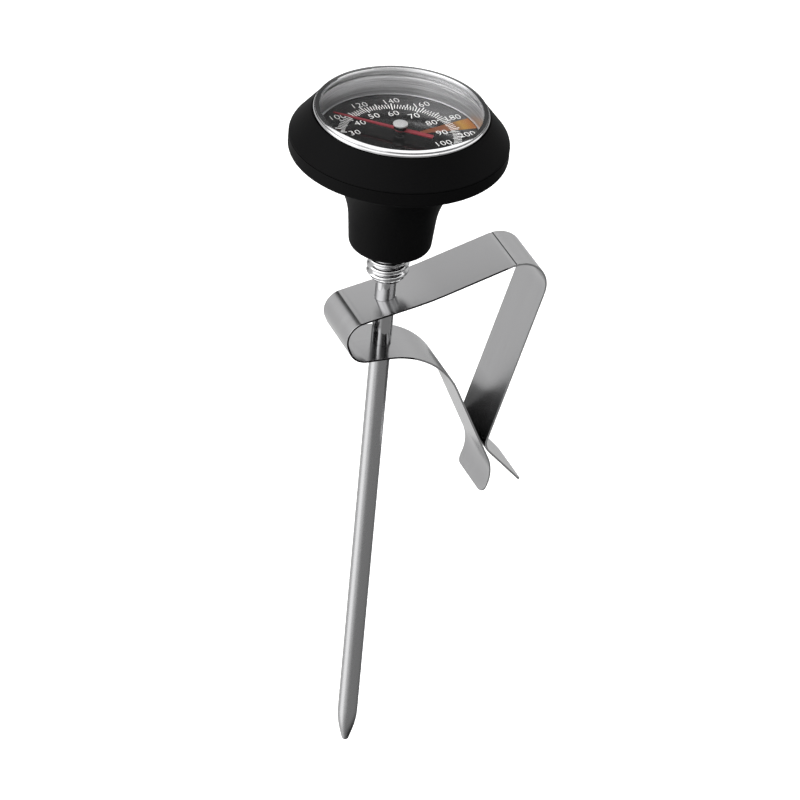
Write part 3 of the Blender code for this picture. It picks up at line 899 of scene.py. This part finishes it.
def drill(piece, height, depth):
    """Cut the stem's hole through a piece, around a height."""
    radius = (STEM_RADIUS + 0.05) * MM
    bm = bmesh.new()
    bmesh.ops.create_cone(bm, cap_ends=True, segments=96, radius1=radius, radius2=radius,
                          depth=depth * MM)
    cutter = add_object("hole_cutter", mesh_from("hole_cutter", bm))
    cutter.location = (AXIS_X, 0, TIP_Z + height * MM)
    boolean = piece.modifiers.new("drill", "BOOLEAN")
    boolean.object = cutter
    mesh = evaluated_mesh(piece)
    piece.modifiers.remove(boolean)
    old = piece.data
    piece.data = mesh
    bpy.data.meshes.remove(old)
    bpy.data.objects.remove(cutter)


def build_clip():
    """The bent strip: the part with the plates, which rides the clip, and the outer leg, cut from
    it just before the right bend.
    """
    path = rounded(CLIP_CORNERS, step=BEND_STEP)
    lengths = path_lengths(path)

    def bend_at(corner):
        places = [Vector(CLIP_CORNERS[corner + shift][:2]) for shift in (-1, 0, 1)]
        return corner_arc(*places, CLIP_CORNERS[corner][2], BEND_STEP)

    def distance_of(place):
        return lengths[min(range(len(path)), key=lambda index: (path[index] - place).length)]

    bend = bend_at(RIGHT_BEND)
    left = distance_of(bend_at(LEFT_BEND)[-1])
    right = distance_of(bend[0])
    seam = right - 0.9
    creases = [(left, 0.03, 0.3), (right + 0.8, 0.09, 0.2)]
    # Heights above which the strip's edges get the painted dark reflection.
    plates_dark_above = LOWER_PLATE - 1.1
    leg_dark_above = 114.0
    sharp = 40

    strip = strip_mesh(path, 0, seam, creases, plates_dark_above)
    plates = finish_piece("clip_strip", strip, STRIP_STEEL, None, ["clip_frame"],
                          sharp)
    plates.data.materials.append(EDGE_PAINTED_DARK)
    drill(plates, LOWER_PLATE, 2.0)
    drill(plates, UPPER_PLATE, 5.0)
    plates.data.set_sharp_from_angle(angle=math.radians(sharp))
    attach(plates, "clip")

    strip = strip_mesh(path, lengths[-1], seam, creases, leg_dark_above)
    leg = finish_piece("clip_strip_leg", strip, STRIP_STEEL, None,
                       ["clip_outer_leg"], sharp)
    leg.data.materials.append(EDGE_PAINTED_DARK)
    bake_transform(leg)


# ---- Inner parts --------------------------------------------------------------------------------

def finish_inner_parts():
    """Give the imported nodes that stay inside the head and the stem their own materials."""
    finishes = {
        "case_cup": INNER_STEEL, "case_locknut": INNER_STEEL, "case_seal_washer": SEAL_BLACK,
        "helix_anchor_plug": INNER_STEEL, "helix_ferrule": BRASS, "bimetal_helix": BIMETAL,
        "lower_guide_bush": BRASS, "upper_guide_bush": BRASS,
    }
    for node, material in finishes.items():
        for slot in frame["nodes"][node].material_slots:
            slot.material = material


# ---- Stage --------------------------------------------------------------------------------------

def add_panel(name, half_size):
    """A flat square in the stage."""
    bm = bmesh.new()
    bmesh.ops.create_grid(bm, x_segments=1, y_segments=1, size=half_size)
    return add_object(name, mesh_from(name, bm))


def build_floor():
    """A plain white floor some way below the object."""
    floor = add_panel("floor", 6)
    floor.location = (0, 0, TIP_Z - 0.16)
    material = bpy.data.materials.new("floor_white")
    material.use_nodes = True
    shader = material.node_tree.nodes["Principled BSDF"]
    shader.inputs["Base Color"].default_value = (0.86, 0.86, 0.86, 1)
    shader.inputs["Roughness"].default_value = 0.9
    shader.inputs["Emission Color"].default_value = (1, 1, 1, 1)
    shader.inputs["Emission Strength"].default_value = 0.45
    floor.data.materials.append(material)
    floor.visible_glossy = False


def build_world():
    """Soft surroundings: a grey room with brighter and darker patches.

    A narrow dark gap stands behind the object, above the horizon and a little to the left.
    """
    world = bpy.data.worlds.new("studio")
    bpy.context.scene.world = world
    world.use_nodes = True
    nodes, links = world.node_tree.nodes, world.node_tree.links
    coordinates = nodes.new("ShaderNodeTexCoord")

    def facing(direction):
        dot = nodes.new("ShaderNodeVectorMath")
        dot.operation = "DOT_PRODUCT"
        links.new(coordinates.outputs["Generated"], dot.inputs[0])
        dot.inputs[1].default_value = Vector(direction).normalized()
        return dot.outputs["Value"]

    def ease(value, start, end, amount):
        return remap(nodes, links, value, start, end, high=amount, smooth=True)

    def combine(operation, first, second):
        math_node = nodes.new("ShaderNodeMath")
        math_node.operation = operation
        for socket, value in zip(math_node.inputs, (first, second)):
            if isinstance(value, float):
                socket.default_value = value
            else:
                links.new(value, socket)
        return math_node.outputs[0]

    room = 0.82
    patches = [
        ((0.55, -0.65, -0.52), 0.1, 0.65, -0.45),       # dim in front, low on the right
        ((-0.85, -0.1, 0.52), 0.65, 0.9, 2.4),          # the key light, high on the left
        ((0.2, 0.45, 0.87), 0.93, 0.985, 0.9),          # above and behind
        ((-0.82, 0.08, -0.54), 0.88, 0.99, 1.1),        # low on the left
        ((-0.75, -0.6, -0.27), 0.955, 0.99, 0.9),       # in front, on the left
        ((0.85, -0.5, 0.2), 0.95, 0.99, 1.5),           # in front, on the right
        ((0.45, -0.6, 0.66), 0.5, 0.85, -0.7),          # dim in front, high on the right
        ((0.3, 0.1, -0.95), 0.75, 0.95, -0.38),         # dim below
        ((0.75, 0.55, -0.35), 0.8, 0.95, -0.15),        # dim behind, low on the right
    ]
    total = room
    for direction, start, end, amount in patches:
        total = combine("ADD", ease(facing(direction), start, end, amount), total)
    side = facing((0.98, 0.0, 0.2))
    gap_right = ease(side, 0.03, 0.09, 1.0)
    gap_left = ease(combine("MULTIPLY", side, -1.0), 0.02, 0.3, 1.0)
    gap_front = ease(facing((0, -1, 0)), -0.45, -0.2, 1.0)
    gap_low = ease(facing((0, 0, -1)), -0.2, 0.0, 1.0)
    gap = combine("MAXIMUM", combine("MAXIMUM", gap_right, gap_left),
                  combine("MAXIMUM", gap_front, gap_low))
    darkest_room, darkest_gap = 0.02, 0.04
    total = combine("MULTIPLY", combine("MAXIMUM", total, darkest_room),
                    combine("MAXIMUM", gap, darkest_gap))
    background = nodes["Background"]
    background.inputs["Color"].default_value = (1, 1, 1, 1)
    links.new(total, background.inputs["Strength"])


def add_card(name, start, direction, distance, size, low_glow, high_glow):
    """A card seen only in gloss, square to a direction from a place.

    Its lowest fifth has the low glow, and all above two fifths has the high one.
    """
    card = add_panel(name, 0.5)
    card.location = Vector(start) + Vector(direction).normalized() * distance
    card.rotation_euler = Vector(direction).to_track_quat("Z", "Y").to_euler()
    card.scale = (*size, 1)
    material = bpy.data.materials.new(name)
    material.use_nodes = True
    nodes, links = node_tools(material)
    shader = nodes["Principled BSDF"]
    shader.inputs["Base Color"].default_value = (0, 0, 0, 1)
    shader.inputs["Specular IOR Level"].default_value = 0
    shader.inputs["Emission Color"].default_value = (1, 1, 1, 1)
    coordinates = nodes.new("ShaderNodeTexCoord")
    height = component(nodes, links, coordinates.outputs["Object"], "Y")
    glow = remap(nodes, links, height, -0.3, -0.1, low_glow, high_glow)
    links.new(glow, shader.inputs["Emission Strength"])
    card.data.materials.append(material)
    card.visible_camera = False
    card.visible_diffuse = False
    card.visible_shadow = False


def build_cards():
    """Studio cards that only gloss sees: four around the head and two at the jaws.

    Each has a start, a direction and a distance from it, a size and its two glows.
    """
    behind = Vector((-math.sin(VIEW_AZIMUTH), math.cos(VIEW_AZIMUTH), 0))
    tip = Vector((AXIS_X, 0, TIP_Z))
    cards = [
        ("back_card", tip + Vector((0, 0, 0.1615)), behind, 0.03, (0.07, 0.031), 0.4, 0.1),
        ("front_card", tip + Vector((0, 0, 0.146)), (-0.36, -0.79, 0.5), 0.06, (0.12, 0.026),
         2.0, 2.0),
        ("sky_card", tip + Vector((0.014, 0.033, 0.147)), (0, 0, 1), 0.04, (0.07, 0.03), 2.2, 2.2),
        ("leg_card", (0.0015, 0, 0.0041), (-0.58, 0.76, -0.29), 0.025, (0.014, 0.0105), 0.0, 0.25),
        ("jaw_card", (-0.005, 0, 0.0015), (0.5955, 0.762, 0.2554), 0.02, (0.013, 0.016), 0.0, 0.2),
        ("side_card", tip + Vector((0, 0, 0.1465)), (0.79, -0.57, 0.22), 0.05, (0.06, 0.02),
         1.8, 1.8),
    ]
    for card in cards:
        add_card(*card)


def add_light(name, place, size, energy):
    """A soft box that shines on the middle of the frame."""
    light = bpy.data.lights.new(name, "AREA")
    light.shape = "RECTANGLE"
    light.size, light.size_y = size
    light.energy = energy
    lamp = add_object(name, light)
    lamp.location = place
    lamp.rotation_euler = (-Vector(place)).to_track_quat("-Z", "Y").to_euler()
    lamp.visible_glossy = False


def build_lights():
    add_light("top_softbox", (-0.1, 0.15, 0.9), (0.9, 0.9), 6.0)
    add_light("left_softbox", (-0.8, -0.25, 0.35), (0.35, 0.7), 3.0)


def build_camera():
    """The photograph's view: above and to the left of the object, through a long lens."""
    azimuth, elevation, roll = VIEW_AZIMUTH, math.radians(32.99), math.radians(5.36)
    distance = 1.0
    target = Vector((-17.404, -1.976, 11.774)) * MM
    back = Vector((math.sin(azimuth) * math.cos(elevation),
                   -math.cos(azimuth) * math.cos(elevation), math.sin(elevation)))
    level = Vector((math.cos(azimuth), math.sin(azimuth), 0))
    upright = back.cross(level)
    right = level * math.cos(roll) + upright * math.sin(roll)
    up = upright * math.cos(roll) - level * math.sin(roll)
    data = bpy.data.cameras.new("camera")
    data.sensor_width = 36.0
    data.lens = 232.0
    data.clip_start = 0.05
    data.clip_end = 30
    camera = add_object("camera", data)
    turn = Matrix((right, up, back)).transposed().to_4x4()
    camera.matrix_world = Matrix.Translation(target + back * distance) @ turn
    bpy.context.scene.camera = camera


# ---- Assembly -----------------------------------------------------------------------------------

build_cover()
build_bezel()
build_window()
build_dial_wall()
build_dial()
build_collar()
build_pointer()
build_stem()
build_clip()
finish_inner_parts()
build_floor()
build_world()
build_cards()
build_lights()
build_camera()
bpy.context.scene.view_settings.view_transform = "Standard"

bpy.context.view_layer.update()
